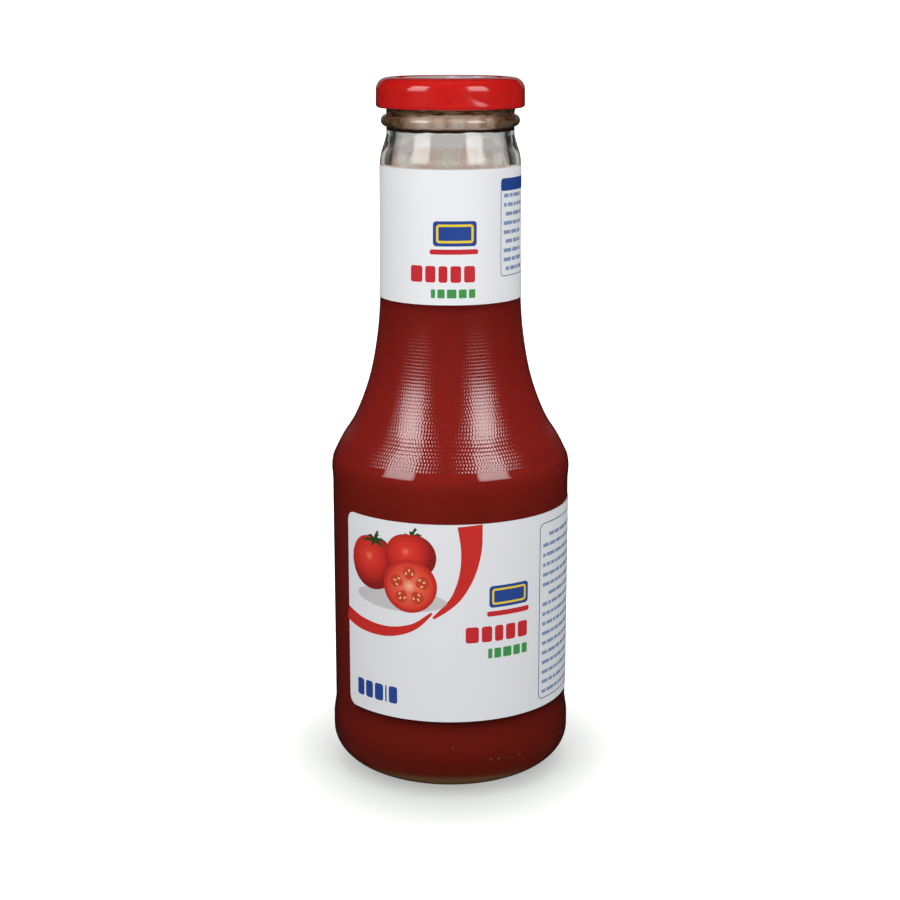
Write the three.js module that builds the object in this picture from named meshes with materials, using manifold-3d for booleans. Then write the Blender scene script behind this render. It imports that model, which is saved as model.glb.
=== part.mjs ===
// A full glass bottle of ketchup with a twist-off tinplate lid, a neck label and a body label.
// Millimetres, +Z up. The origin is the middle of the ring that the bottle stands on,
// and the front of both labels faces -Y.

import * as THREE from 'three';
import { mergeVertices } from 'three/addons/utils/BufferGeometryUtils.js';
import Module from 'manifold-3d';

const wasm = await Module();
wasm.setup();

// Facets round every turned piece. All pieces share them, so nested walls stay parallel.
const sides = 40;
const gap = 0.3;

// Body of the bottle
const panelRadius = 36.9;
const panelBottomZ = 20.5;
const panelTopZ = 93;
const lowerBulgeRadius = 37.6;
const lowerBulgeTopZ = 15;
const upperBulgeRadius = 37.15;
const upperBulgeZ = 96.6;

// Base and heel
const standInnerRadius = 19.5;
const standOuterRadius = 23.5;
const pushUpHeight = 2.8;
const heelHeight = 11;
const innerFloorZ = 6.2;
const innerHeelBottomZ = 4.8;
const innerHeelHeight = 13.5;
const innerFloorRadius = 22;

// Shoulder and neck
const neckFootRadius = 21.6;
const neckFootZ = 150;
const neckRadius = 21.3;
const neckTopZ = 191;

// Finish, the part of the glass that the lid screws on
const finishRadius = 19.3;
const finishFootZ = 198.9;
const beadRadius = 20.97;
const beadZ = 203.1;
const beadHalfHeight = 1.75;
const mouthZ = 214.3;
const mouthRounding = 0.9;
const boreRadius = 16.3;

// Wall of the glass
const bodyWall = 2.9;
const neckWall = 3.4;

// Thread on the finish: short sloping ridges, one for each lug of the lid
const threadStarts = 4;
const threadSweep = 74;
const threadTopZ = 210.6;
const threadDrop = 4.3;
const threadHeight = 2.2;
const threadDepth = 1.0;
const firstThreadAngle = -80;

// Contents
const fillZ = 186;

// Lid
const lidRadius = 22.5;
const lidWallRadius = 22.35;
const lidBottomZ = 206.9;
const lidTopZ = 215.9;
const lidShoulder = 3.5;
const curlRadius = 0.95;
const tinplate = 0.6;
const lidRimInnerRadius = 17.4;
const lidGrooveRadius = 15.8;
const lidGrooveDepth = 0.7;
const lidPanelRadius = 14.4;
const lugs = 4;
const lugWidth = 11;
const lugHeight = 1.3;
const lugInnerRadius = 20.6;
const firstLugAngle = 23;

// Labels
const paper = 0.12;
const paperGap = 0.08;
const neckLabelBottomZ = 150.2;
const neckLabelTopZ = 189.9;
const bodyLabelBottomZ = 24.8;
const bodyLabelTopZ = 87;
const bodyLabelStart = -57.3;
const bodyLabelEnd = 260;
const bodyLabelCorner = 3;

const radians = THREE.MathUtils.degToRad;

// Points [radius, height] along part of an ellipse, angles in degrees from the +radius axis.
function arc(centreRadius, centreZ, radiusR, radiusZ, from, to, steps) {
  const points = [];
  for (let i = 0; i <= steps; i++) {
    const angle = radians(from + ((to - from) * i) / steps);
    points.push([centreRadius + radiusR * Math.cos(angle), centreZ + radiusZ * Math.sin(angle)]);
  }
  return points;
}

// Points along a smooth curve through the given ones.
function smooth(points, steps) {
  const curve = new THREE.SplineCurve(points.map(([r, z]) => new THREE.Vector2(r, z)));
  return curve.getPoints(steps).map((p) => [p.x, p.y]);
}

// The same profile moved towards the axis by a distance that may change with height.
function inset(profile, distanceAt) {
  return profile.map(([r, z], i) => {
    const [r0, z0] = profile[Math.max(i - 1, 0)];
    const [r1, z1] = profile[Math.min(i + 1, profile.length - 1)];
    const length = Math.hypot(r1 - r0, z1 - z0);
    const distance = distanceAt(z);
    return [r - (distance * (z1 - z0)) / length, z + (distance * (r1 - r0)) / length];
  });
}

// A closed outline of [radius, height] turned round the Z axis.
function turned(profile) {
  const points = profile.map(([r, z]) => new THREE.Vector2(Math.max(r, 0), z));
  return new THREE.LatheGeometry(points, sides).rotateX(Math.PI / 2);
}

function pointAt(radius, angleFromFront, z) {
  const angle = radians(angleFromFront);
  return [radius * Math.sin(angle), -radius * Math.cos(angle), z];
}

// A bar of four-cornered sections joined one to the next, closed at both ends.
// Each section lists inner low, outer low, outer high and inner high.
function barOfSections(sections) {
  const positions = sections.flat(2);
  const faces = [];
  const quad = (a, b, c, d) => faces.push(a, b, c, a, c, d);
  for (let i = 0; i + 1 < sections.length; i++) {
    for (let k = 0; k < 4; k++) {
      const a = 4 * i + k;
      const b = 4 * i + ((k + 1) % 4);
      quad(a, a + 4, b + 4, b);
    }
  }
  const last = 4 * (sections.length - 1);
  quad(0, 1, 2, 3);
  quad(last + 3, last + 2, last + 1, last);
  const geometry = new THREE.BufferGeometry();
  geometry.setAttribute('position', new THREE.Float32BufferAttribute(positions, 3));
  geometry.setIndex(faces);
  return geometry;
}

function toSolid(geometry) {
  const bare = geometry.clone();
  for (const name of Object.keys(bare.attributes)) {
    if (name !== 'position') bare.deleteAttribute(name);
  }
  const merged = mergeVertices(bare, 1e-3);
  const vertProperties = new Float32Array(merged.attributes.position.array);
  const triVerts = [];
  for (let i = 0; i < merged.index.count; i += 3) {
    const [a, b, c] = [0, 1, 2].map((k) => merged.index.getX(i + k));
    if (a !== b && b !== c && c !== a) triVerts.push(a, b, c);
  }
  const mesh = new wasm.Mesh({ numProp: 3, vertProperties, triVerts: new Uint32Array(triVerts) });
  return new wasm.Manifold(mesh);
}

function toGeometry(solid) {
  const mesh = solid.getMesh();
  const geometry = new THREE.BufferGeometry();
  geometry.setAttribute('position', new THREE.Float32BufferAttribute(mesh.vertProperties, 3));
  geometry.setIndex(Array.from(mesh.triVerts));
  return geometry;
}

function joined(geometries) {
  return toGeometry(geometries.map(toSolid).reduce((all, next) => all.add(next)));
}

// Outside of the glass from the heel to the foot of the finish, bottom to top.
function outerWall() {
  const heel = arc(standOuterRadius, heelHeight, lowerBulgeRadius - standOuterRadius, heelHeight, -90, 0, 7);
  const shoulder = smooth([
    [36.2, 101.2],
    [33.6, 106.3],
    [30.0, 112.0],
    [26.8, 119.5],
    [24.3, 128.0],
    [22.45, 139.0],
    [neckFootRadius, neckFootZ],
  ], 12);
  const collar = smooth([
    [neckRadius, neckTopZ],
    [20.85, 193.7],
    [19.95, 196.5],
    [finishRadius, finishFootZ],
  ], 5);
  return [
    ...heel,
    [lowerBulgeRadius, lowerBulgeTopZ],
    [panelRadius + 0.3, lowerBulgeTopZ + 3.2],
    [panelRadius, panelBottomZ],
    [panelRadius, panelTopZ],
    [upperBulgeRadius, upperBulgeZ],
    [upperBulgeRadius - 0.25, 99.2],
    ...shoulder,
    [neckRadius, neckFootZ + 16],
    ...collar,
  ];
}

// Inside of the glass from the middle of the floor to the mouth.
function innerWall() {
  const bodyInside = panelRadius - bodyWall;
  const floor = [
    [0, innerFloorZ],
    [innerFloorRadius * 0.7, innerFloorZ - 0.5],
  ];
  const heel = arc(
    innerFloorRadius, innerHeelHeight + innerHeelBottomZ,
    bodyInside - innerFloorRadius, innerHeelHeight, -90, 0, 6,
  );
  const wallAt = (z) => THREE.MathUtils.mapLinear(
    THREE.MathUtils.clamp(z, panelTopZ, neckFootZ), panelTopZ, neckFootZ, bodyWall, neckWall,
  );
  const above = outerWall().filter(([, z]) => z >= panelTopZ && z < neckTopZ + 1);
  const neck = inset([[panelRadius, panelTopZ - 10], ...above], wallAt).slice(1);
  return [...floor, ...heel, ...neck, [boreRadius + 0.4, finishFootZ], [boreRadius, beadZ]];
}

// One short ridge of the thread, falling to the right as the lid's lug draws under it.
function threadRidge(startAngle) {
  const steps = 14;
  const root = finishRadius - 0.4;
  const sections = [];
  for (let i = 0; i <= steps; i++) {
    const t = i / steps;
    const angle = startAngle + threadSweep * t;
    const z = threadTopZ - threadDrop * t;
    const swell = Math.min(1, 6 * t + 0.05, 6 * (1 - t) + 0.05);
    const crest = finishRadius + threadDepth * swell;
    const half = threadHeight / 2;
    sections.push([
      pointAt(root, angle, z - half),
      pointAt(crest, angle, z - half * 0.45),
      pointAt(crest, angle, z + half * 0.45),
      pointAt(root, angle, z + half),
    ]);
  }
  return barOfSections(sections);
}

function glassBottle() {
  const base = [
    [0, pushUpHeight],
    [standInnerRadius * 0.62, pushUpHeight - 0.3],
    [standInnerRadius - 1.6, pushUpHeight - 1.3],
    [standInnerRadius, 0],
  ];
  const bead = arc(finishRadius, beadZ, beadRadius - finishRadius, beadHalfHeight, -90, 90, 6);
  const lip = arc(
    finishRadius - mouthRounding, mouthZ - mouthRounding, mouthRounding, mouthRounding, 0, 90, 3,
  );
  const outside = [...base, ...outerWall(), ...bead, ...lip];
  const inside = innerWall();
  const mouth = [[boreRadius, mouthZ - 0.5]];
  const body = turned([...outside, [boreRadius + 0.5, mouthZ], ...mouth, ...inside.reverse()]);
  const ridges = [];
  for (let i = 0; i < threadStarts; i++) {
    ridges.push(threadRidge(firstThreadAngle + (360 / threadStarts) * i));
  }
  return joined([body, ...ridges]);
}

// The ketchup fills the glass up to its level, where it stands a little higher at the wall.
function ketchup() {
  const meniscus = 0.6;
  const wall = innerWall();
  const inner = inset(wall, () => gap).filter(([, z]) => z < fillZ);
  inner[0] = [0, innerFloorZ + gap];
  const brim = neckRadius - neckWall - gap;
  return turned([...inner, [brim, fillZ + meniscus], [brim - 1.5, fillZ], [0, fillZ]]);
}

// Half of the lid's section: top face from the middle out, wall, rolled edge, then back inside.
function lid() {
  const shoulderZ = lidTopZ - 0.15 - lidShoulder;
  const grooveZ = lidTopZ - lidGrooveDepth;
  const curlZ = lidBottomZ + curlRadius;
  const curlCentre = lidRadius - curlRadius;
  const outside = [
    [0, lidTopZ],
    [lidPanelRadius - 1.2, lidTopZ - 0.1],
    [lidPanelRadius, lidTopZ - 0.25],
    [lidGrooveRadius - 0.3, grooveZ],
    [lidGrooveRadius + 0.3, grooveZ],
    [lidRimInnerRadius, lidTopZ - 0.1],
    [(lidRimInnerRadius + lidWallRadius - lidShoulder) / 2, lidTopZ],
    ...arc(lidWallRadius - lidShoulder, shoulderZ, lidShoulder, lidShoulder, 90, 0, 5),
    [lidWallRadius, curlZ + curlRadius + 0.3],
    ...arc(curlCentre, curlZ, curlRadius, curlRadius, 30, -180, 7),
  ];
  const inside = [
    [curlCentre - curlRadius, curlZ + 0.5],
    [lidWallRadius - tinplate, curlZ + curlRadius + 0.5],
    ...arc(
      lidWallRadius - lidShoulder, shoulderZ, lidShoulder - tinplate, lidShoulder - tinplate, 0, 90, 3,
    ),
    [lidRimInnerRadius + 0.4, lidTopZ - 0.1 - tinplate],
    [lidGrooveRadius + 0.5, grooveZ - tinplate],
    [lidGrooveRadius - 0.5, grooveZ - tinplate],
    [lidPanelRadius - 0.2, lidTopZ - 0.3 - tinplate],
    [0, lidTopZ - tinplate],
  ];
  const shell = turned([...outside, ...inside].reverse());
  const lugPieces = [];
  for (let i = 0; i < lugs; i++) {
    lugPieces.push(lug(firstLugAngle + (360 / lugs) * i));
  }
  return joined([shell, ...lugPieces]);
}

// A tab pressed inwards out of the rolled edge, which hooks under a ridge of the thread.
function lug(angle) {
  const outer = lidRadius - curlRadius;
  const halfAngle = THREE.MathUtils.radToDeg(lugWidth / 2 / outer);
  const sections = [];
  const steps = 4;
  for (let i = 0; i <= steps; i++) {
    const t = i / steps;
    const at = angle + halfAngle * (2 * t - 1);
    const reach = Math.sin(Math.PI * (0.15 + 0.7 * t));
    const inner = THREE.MathUtils.lerp(outer - curlRadius + 0.2, lugInnerRadius, reach);
    const z = lidBottomZ + curlRadius * 0.5;
    sections.push([
      pointAt(inner, at, z + 0.2),
      pointAt(outer, at, z),
      pointAt(outer, at, z + lugHeight - 0.3),
      pointAt(inner, at, z + lugHeight - 0.3),
    ]);
  }
  return barOfSections(sections);
}

// A paper sleeve that goes right round the neck, on glass that narrows a little upwards.
function neckLabel() {
  const glassAt = (z) => (z < neckFootZ + 16
    ? THREE.MathUtils.mapLinear(z, neckFootZ, neckFootZ + 16, neckFootRadius, neckRadius)
    : neckRadius);
  const heights = [neckLabelBottomZ, neckFootZ + 16, neckLabelTopZ];
  const inner = heights.map((z) => [glassAt(z) + paperGap, z]);
  const outer = heights.map((z) => [glassAt(z) + paperGap + paper, z]);
  return turned([...outer, ...inner.reverse(), outer[0]]);
}

// A paper sheet wrapped round the panel that leaves a strip of glass bare on the left.
// Its facets follow the panel's own, and its four corners are rounded.
function bodyLabel() {
  const arcPerDegree = radians(1) * panelRadius;
  const step = 360 / sides;
  const cornerSteps = [0, 0.1, 0.3, 0.6, 1];
  const cornerAngle = bodyLabelCorner / arcPerDegree;
  const angles = new Set();
  for (const t of cornerSteps) {
    angles.add(bodyLabelStart + cornerAngle * t);
    angles.add(bodyLabelEnd - cornerAngle * t);
  }
  for (let a = Math.ceil(bodyLabelStart / step) * step; a < bodyLabelEnd; a += step) {
    if (a > bodyLabelStart + cornerAngle + 1 && a < bodyLabelEnd - cornerAngle - 1) angles.add(a);
  }
  const facetRadius = (radius, angle) => {
    const within = angle - step * Math.floor(angle / step) - step / 2;
    return (radius * Math.cos(radians(step / 2))) / Math.cos(radians(within));
  };
  const sections = [...angles].sort((a, b) => a - b).map((angle) => {
    const toEdge = Math.min(angle - bodyLabelStart, bodyLabelEnd - angle) * arcPerDegree;
    const short = Math.max(bodyLabelCorner - toEdge, 0);
    const cut = bodyLabelCorner - Math.sqrt(bodyLabelCorner ** 2 - short ** 2);
    const inner = facetRadius(panelRadius + paperGap, angle);
    const outer = facetRadius(panelRadius + paperGap + paper, angle);
    return [
      pointAt(inner, angle, bodyLabelBottomZ + cut),
      pointAt(outer, angle, bodyLabelBottomZ + cut),
      pointAt(outer, angle, bodyLabelTopZ - cut),
      pointAt(inner, angle, bodyLabelTopZ - cut),
    ];
  });
  return barOfSections(sections);
}

function namedMesh(name, geometry, material) {
  const mesh = new THREE.Mesh(geometry, new THREE.MeshStandardMaterial(material));
  mesh.name = name;
  return mesh;
}

const bottle = new THREE.Group();
bottle.add(
  namedMesh('glass_bottle', glassBottle(), {
    color: 0xd9dedb, roughness: 0.04, metalness: 0, transparent: true, opacity: 0.35,
  }),
  namedMesh('ketchup', ketchup(), { color: 0x861a16, roughness: 0.35, metalness: 0 }),
  namedMesh('lid', lid(), { color: 0xc21f1a, roughness: 0.28, metalness: 0.2 }),
  namedMesh('neck_label', neckLabel(), { color: 0xe8ebef, roughness: 0.5, metalness: 0 }),
  namedMesh('body_label', bodyLabel(), { color: 0xe2e4e8, roughness: 0.5, metalness: 0 }),
);

export default bottle;
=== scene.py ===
import math
import random

import bpy
import numpy as np
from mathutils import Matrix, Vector


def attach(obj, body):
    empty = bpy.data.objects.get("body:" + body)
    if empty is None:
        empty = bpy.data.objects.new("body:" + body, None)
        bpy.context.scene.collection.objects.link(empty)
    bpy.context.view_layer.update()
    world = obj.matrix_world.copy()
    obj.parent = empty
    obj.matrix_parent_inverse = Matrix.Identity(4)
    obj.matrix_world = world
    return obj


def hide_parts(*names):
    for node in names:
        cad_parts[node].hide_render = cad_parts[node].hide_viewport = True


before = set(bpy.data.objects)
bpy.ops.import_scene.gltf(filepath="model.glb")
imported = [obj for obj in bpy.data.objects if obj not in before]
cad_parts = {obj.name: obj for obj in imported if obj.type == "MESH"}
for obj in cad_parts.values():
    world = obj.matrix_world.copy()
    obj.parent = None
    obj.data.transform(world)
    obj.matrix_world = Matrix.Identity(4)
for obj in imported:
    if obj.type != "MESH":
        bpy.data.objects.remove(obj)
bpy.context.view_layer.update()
mm = 0.001
print("frame loaded:", sorted(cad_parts))

# A 72 mm lens, a little above the lid and tipped down at the label
cameraSettings = {
    "lensMm": 72,
    "sensorMm": 36,
    "tipDown": 13.48,                          # degrees
    "place": (-0.000125, -0.54975, 0.23277),   # metres
}


def addCamera(settings):
    camera = bpy.data.objects.new("camera", bpy.data.cameras.new("camera"))
    bpy.context.scene.collection.objects.link(camera)
    camera.data.lens = settings["lensMm"]
    camera.data.sensor_width = settings["sensorMm"]
    camera.location = settings["place"]
    camera.rotation_euler = (math.radians(90 - settings["tipDown"]), 0, 0)
    camera.data.clip_start = 0.01
    bpy.context.scene.camera = camera


addCamera(cameraSettings)


# Helpers for shapes, all in millimetres, with angles from the front that grow to the right
def place(radius, angle, z):
    turn = math.radians(angle)
    return (radius * math.sin(turn) * mm, -radius * math.cos(turn) * mm, z * mm)


def arcPoints(centreR, centreZ, radiusR, radiusZ, start, end, steps):
    points = []
    for i in range(steps + 1):
        angle = math.radians(start + (end - start) * i / steps)
        points.append((centreR + radiusR * math.cos(angle), centreZ + radiusZ * math.sin(angle)))
    return points


# Smooth curve through the points, as the CAD source draws it
def smoothPoints(points, steps):
    curve = []
    last = len(points) - 1
    for i in range(steps + 1):
        at = last * i / steps
        k = min(int(at), last - 1)
        t = at - k
        p = [np.array(points[min(max(k + j, 0), last)], float) for j in (-1, 0, 1, 2)]
        v0 = (p[2] - p[0]) / 2
        v1 = (p[3] - p[1]) / 2
        spot = (2 * p[1] - 2 * p[2] + v0 + v1) * t**3
        spot += (-3 * p[1] + 3 * p[2] - 2 * v0 - v1) * t**2 + v0 * t + p[1]
        curve.append((float(spot[0]), float(spot[1])))
    return curve


def linePoints(start, end, steps):
    return [tuple(a + (b - a) * i / steps for a, b in zip(start, end)) for i in range(steps + 1)]


# The same profile moved towards the axis by a distance that may change with height
def insetPoints(profile, distanceAt):
    moved = []
    for i, (r, z) in enumerate(profile):
        r0, z0 = profile[max(i - 1, 0)]
        r1, z1 = profile[min(i + 1, len(profile) - 1)]
        length = math.hypot(r1 - r0, z1 - z0)
        distance = distanceAt(z)
        moved.append((r - distance * (z1 - z0) / length, z + distance * (r1 - r0) / length))
    return moved


def withoutRepeats(profile):
    kept = [profile[0]]
    for point in profile[1:]:
        if math.dist(point, kept[-1]) > 1e-3:
            kept.append(point)
    return kept


def radiusAt(profile, z):
    return float(np.interp(z, [p[1] for p in profile], [p[0] for p in profile]))


def wave(angle, seed, counts):
    total = 0
    for i, count in enumerate(counts):
        total += math.sin(math.radians(angle) * count + seed * (i + 1.7)) / len(counts)
    return total


def easeStep(value, low, high):
    t = min(max((value - low) / (high - low), 0), 1)
    return t * t * (3 - 2 * t)


def addPiece(name, vertices, faces, material, sharp=40):
    mesh = bpy.data.meshes.new(name)
    mesh.from_pydata(vertices, [], faces)
    mesh.validate()
    mesh.shade_smooth()
    mesh.set_sharp_from_angle(angle=math.radians(sharp))
    piece = bpy.data.objects.new(name, mesh)
    bpy.context.scene.collection.objects.link(piece)
    mesh.materials.append(material)
    return piece


# A profile turned round the bottle's axis. It runs up the outside, and down again inside.
def turnedPiece(name, profile, columns, material, shape=None, closed=False, sharp=40):
    vertices = []
    rings = []
    for r, z in profile:
        if r < 1e-6:
            rings.append([len(vertices)])
            vertices.append((0, 0, z * mm))
            continue
        rings.append(range(len(vertices), len(vertices) + columns))
        for k in range(columns):
            angle = 360 * k / columns
            newR, newZ = shape(angle, r, z) if shape else (r, z)
            vertices.append(place(newR, angle, newZ))
    faces = []
    pairs = list(zip(rings, rings[1:]))
    if closed:
        pairs.append((rings[-1], rings[0]))
    for low, high in pairs:
        for k in range(columns):
            corners = ((low, k), (low, k + 1), (high, k + 1), (high, k))
            # on the axis two corners are one
            corners = list(dict.fromkeys(ring[at % len(ring)] for ring, at in corners))
            if len(corners) > 2:
                faces.append(corners)
    return addPiece(name, vertices, faces, material, sharp)


# Helpers for materials
def toLinear(colour, strength=1):
    parts = [int(colour[i:i + 2], 16) / 255 for i in (1, 3, 5)]
    parts = [c / 12.92 if c <= 0.04045 else ((c + 0.055) / 1.055) ** 2.4 for c in parts]
    return tuple(c * strength for c in parts) + (1,)


# Adds a node. Its settings are its own properties, the stops of its ramp, or just its operation.
# Its inputs go by name or in order: a value, a hex colour, a socket, or a node with its first output.
def addNode(tree, kind, settings=None, inputs=None):
    node = tree.nodes.new("ShaderNode" + kind)
    settings = {"operation": settings} if isinstance(settings, str) else dict(settings or {})
    stops = settings.pop("stops", ())
    for name, value in settings.items():
        setattr(node, name, value)
    for i in range(2, len(stops)):      # a new ramp has two
        node.color_ramp.elements.new(0.5)
    for element, (position, colour) in zip(node.color_ramp.elements if stops else (), stops):
        element.position = position
        if isinstance(colour, str):
            colour = toLinear(colour)
        element.color = colour if isinstance(colour, tuple) else (colour, colour, colour, 1)
    inputs = dict(enumerate(inputs)) if isinstance(inputs, tuple) else inputs or {}
    for name, value in inputs.items():
        if isinstance(value, bpy.types.Node):
            value = value.outputs[0]
        if isinstance(value, bpy.types.NodeSocket):
            tree.links.new(value, node.inputs[name])
        else:
            node.inputs[name].default_value = toLinear(value) if isinstance(value, str) else value
    return node


def startMaterial(name):
    material = bpy.data.materials.new(name)
    material.use_nodes = True
    material.node_tree.nodes.clear()
    return material, material.node_tree


# The glass
bottle = {
    "panelRadius": 36.9, "panelBottomZ": 20.5, "panelTopZ": 93,
    "lowerBulgeRadius": 37.6, "lowerBulgeTopZ": 15, "upperBulgeRadius": 37.15, "upperBulgeZ": 96.6,
    "standInnerRadius": 19.5, "standOuterRadius": 23.5, "pushUpHeight": 2.8, "heelHeight": 11,
    "innerFloorZ": 6.2, "innerHeelBottomZ": 4.8, "innerHeelHeight": 13.5, "innerFloorRadius": 22,
    # radius and height of points up the shoulder, and in to the finish above the neck
    "shoulder": (
        (36.9, 99.2), (36.2, 101.2), (33.6, 106.3), (30.0, 112.0), (26.8, 119.5), (24.3, 128.0),
        (22.45, 139.0),
    ),
    "neckFootRadius": 21.6, "neckFootZ": 150, "neckTaper": 16, "neckRadius": 21.3, "neckTopZ": 191,
    "collar": ((20.85, 193.7), (19.95, 196.5)),
    "finishRadius": 19.3, "finishFootZ": 198.9, "beadRadius": 20.97, "beadZ": 203.1, "beadHalfHeight": 1.75,
    "mouthZ": 214.3, "mouthRounding": 0.9, "boreRounding": 0.5, "boreRadius": 16.3, "boreFlare": 0.4,
    "bodyWall": 2.9, "neckWall": 3.4,
    "threadStarts": 4, "threadSweep": 74, "threadTopZ": 210.6, "threadDrop": 4.3, "threadHeight": 2.2,
    "threadDepth": 1.0, "firstThreadAngle": -80, "threadRowsBottomZ": 205.1, "threadRowsTopZ": 212.6,
    "columns": 160,
}
stipple = {
    "bottomZ": 102.3, "topZ": 150.2,
    "rowPitch": 1.02,       # mm up the bottle from one row of bumps to the next
    "height": 0.048,        # mm that a bump stands proud at the foot of the shoulder
    "fadeTo": 0.6,          # share of that left from 15 mm higher up
    "spacing": 0.95,        # mm along a row, on average
    "reach": 0.49,          # radius of a bump as a share of the space it has
    # bumps in a row, at heights up the shoulder
    "counts": ((101.2, 226), (106.3, 215), (112, 199), (119.5, 184), (128, 171), (139, 161), (150, 157)),
    "countScale": 250,      # a ramp holds shares, so it is given the counts divided by this
}


# Soda-lime container glass, moulded: clear with a faint grey-green cast and a fire-polished skin
def glassMaterial(name, stippled):
    material, tree = startMaterial(name)
    inputs = {
        "Base Color": "#fafcfa",
        "Roughness": 0.035,
        "IOR": 1.5,
        "Transmission Weight": 1.0,
        "Coat Weight": 1.0,      # the harder skin that the hot-end coating leaves on bottles
        "Coat IOR": 2.2,
    }
    if stippled:
        inputs["Normal"] = stippleNormal(tree)
        inputs["Roughness"] = 0.29   # what is behind the bumps is blurred, their skin stays bright
        inputs["Specular IOR Level"] = 0.1
        inputs["Coat IOR"] = 3.0     # the crowded little faces send back more light than flat glass
    else:
        spot = addNode(tree, "TexCoord").outputs["Object"]
        # the mould leaves slow ripples in the skin, about 12 mm across
        ripple = addNode(tree, "TexNoise", inputs={"Vector": spot, "Scale": 85, "Detail": 1})
        inputs["Normal"] = addNode(tree, "Bump", inputs={
            "Height": ripple, "Distance": 0.00006, "Strength": 0.7,
        })
    inputs["Coat Normal"] = inputs["Normal"]
    inputs["Coat Roughness"] = 0.07 if stippled else inputs["Roughness"]
    glass = addNode(tree, "BsdfPrincipled", inputs=inputs)
    clear = addNode(tree, "BsdfTransparent", inputs={"Color": "#fafcfa"})
    shadow = addNode(tree, "LightPath").outputs["Is Shadow Ray"]
    mixed = addNode(tree, "MixShader", inputs=(shadow, glass, clear))
    addNode(tree, "OutputMaterial", inputs={"Surface": mixed})
    return material


# Rows of small round bumps that the mould presses into the shoulder for grip
def stippleNormal(tree):
    s = stipple
    spot = addNode(tree, "TexCoord").outputs["Object"]
    x, y, z = addNode(tree, "SeparateXYZ", inputs=(spot,)).outputs
    up = addNode(tree, "Math", "DIVIDE", (z, s["rowPitch"] * mm))
    row = addNode(tree, "Math", "FLOOR", (up,))
    rowZ = addNode(tree, "Math", "MULTIPLY", (row, s["rowPitch"]))
    # the number of bumps in the row
    low, high = s["counts"][0][0], s["counts"][-1][0]
    stops = [((at - low) / (high - low), count / s["countScale"]) for at, count in s["counts"]]
    aboveFoot = addNode(tree, "Math", "SUBTRACT", (rowZ, low))
    share = addNode(tree, "Math", "DIVIDE", (aboveFoot, high - low))
    ramp = addNode(tree, "ValToRGB", {"stops": stops}, (share,))
    count = addNode(tree, "Math", "MULTIPLY", (ramp, s["countScale"]))
    count = addNode(tree, "Math", "ROUND", (count,))
    # how many bumps the point lies round the row, which starts at a place of its own
    front = addNode(tree, "Math", "MULTIPLY", (y, -1))
    angle = addNode(tree, "Math", "ARCTAN2", (x, front))
    turn = addNode(tree, "Math", "DIVIDE", (angle, 2 * math.pi))
    shift = addNode(tree, "TexWhiteNoise", {"noise_dimensions": "1D"}, {"W": row})
    shift = addNode(tree, "Math", "ADD", (shift, 300))      # never below zero
    bumps = addNode(tree, "Math", "MULTIPLY", (turn, count))
    bumps = addNode(tree, "Math", "ADD", (bumps, shift))
    # from the middle of the bump: sideways and up, and whether that is inside it
    offsets = []
    squares = []
    for number in (bumps, up):
        part = addNode(tree, "Math", "FRACT", (number,))
        offsets.append(addNode(tree, "Math", "SUBTRACT", (part, 0.5)))
        size = addNode(tree, "Math", "ABSOLUTE", (offsets[-1],))
        squares.append(addNode(tree, "Math", "POWER", (size, 2)))
    square = addNode(tree, "Math", "ADD", tuple(squares))
    inside = addNode(tree, "Math", "LESS_THAN", (square, s["reach"] ** 2))
    steep = 2 * s["height"] / (s["reach"] ** 2 * s["spacing"])
    fade = addNode(tree, "MapRange", inputs=(
        rowZ, s["bottomZ"] + 2, s["bottomZ"] + 15, steep, steep * s["fadeTo"],
    ))
    strength = addNode(tree, "Math", "MULTIPLY", (inside, fade))
    # each bump is a shallow dome, so the surface leans away from its middle, more so towards its rim
    flat = addNode(tree, "NewGeometry").outputs["Normal"]
    ring = addNode(tree, "CombineXYZ", inputs=(front, x, 0.0))
    sideways = addNode(tree, "VectorMath", "NORMALIZE", (ring,))
    upwards = addNode(tree, "VectorMath", "CROSS_PRODUCT", (flat, sideways))
    leans = tuple(
        addNode(tree, "VectorMath", "SCALE", {0: way, "Scale": offset})
        for way, offset in zip((sideways, upwards), offsets)
    )
    lean = addNode(tree, "VectorMath", "ADD", leans)
    lean = addNode(tree, "VectorMath", "SCALE", {0: lean, "Scale": strength})
    leaning = addNode(tree, "VectorMath", "ADD", (flat, lean))
    return addNode(tree, "VectorMath", "NORMALIZE", (leaning,))


def outerProfile():
    b = bottle
    heelWidth = b["lowerBulgeRadius"] - b["standOuterRadius"]
    heel = arcPoints(b["standOuterRadius"], b["heelHeight"], heelWidth, b["heelHeight"], -90, 0, 22)
    lowerBulge = smoothPoints([
        (b["lowerBulgeRadius"], b["heelHeight"]), (b["lowerBulgeRadius"], b["lowerBulgeTopZ"]),
        (b["panelRadius"] + 0.3, b["lowerBulgeTopZ"] + 3.2), (b["panelRadius"], b["panelBottomZ"]),
        (b["panelRadius"], b["panelBottomZ"] + 4),
    ], 20)
    shoulder = smoothPoints([
        (b["panelRadius"], b["panelTopZ"] - 3), (b["panelRadius"], b["panelTopZ"]),
        (b["upperBulgeRadius"], b["upperBulgeZ"]), *b["shoulder"],
        (b["neckFootRadius"], b["neckFootZ"]), (b["neckRadius"], b["neckFootZ"] + b["neckTaper"]),
    ], 88)
    collar = smoothPoints([
        (b["neckRadius"], b["neckTopZ"] - 4), (b["neckRadius"], b["neckTopZ"]), *b["collar"],
        (b["finishRadius"], b["finishFootZ"]),
    ], 20)
    points = heel + lowerBulge + linePoints(lowerBulge[-1], shoulder[0], 4) + shoulder + collar
    return withoutRepeats([(min(r, b["lowerBulgeRadius"]), z) for r, z in points])


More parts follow.
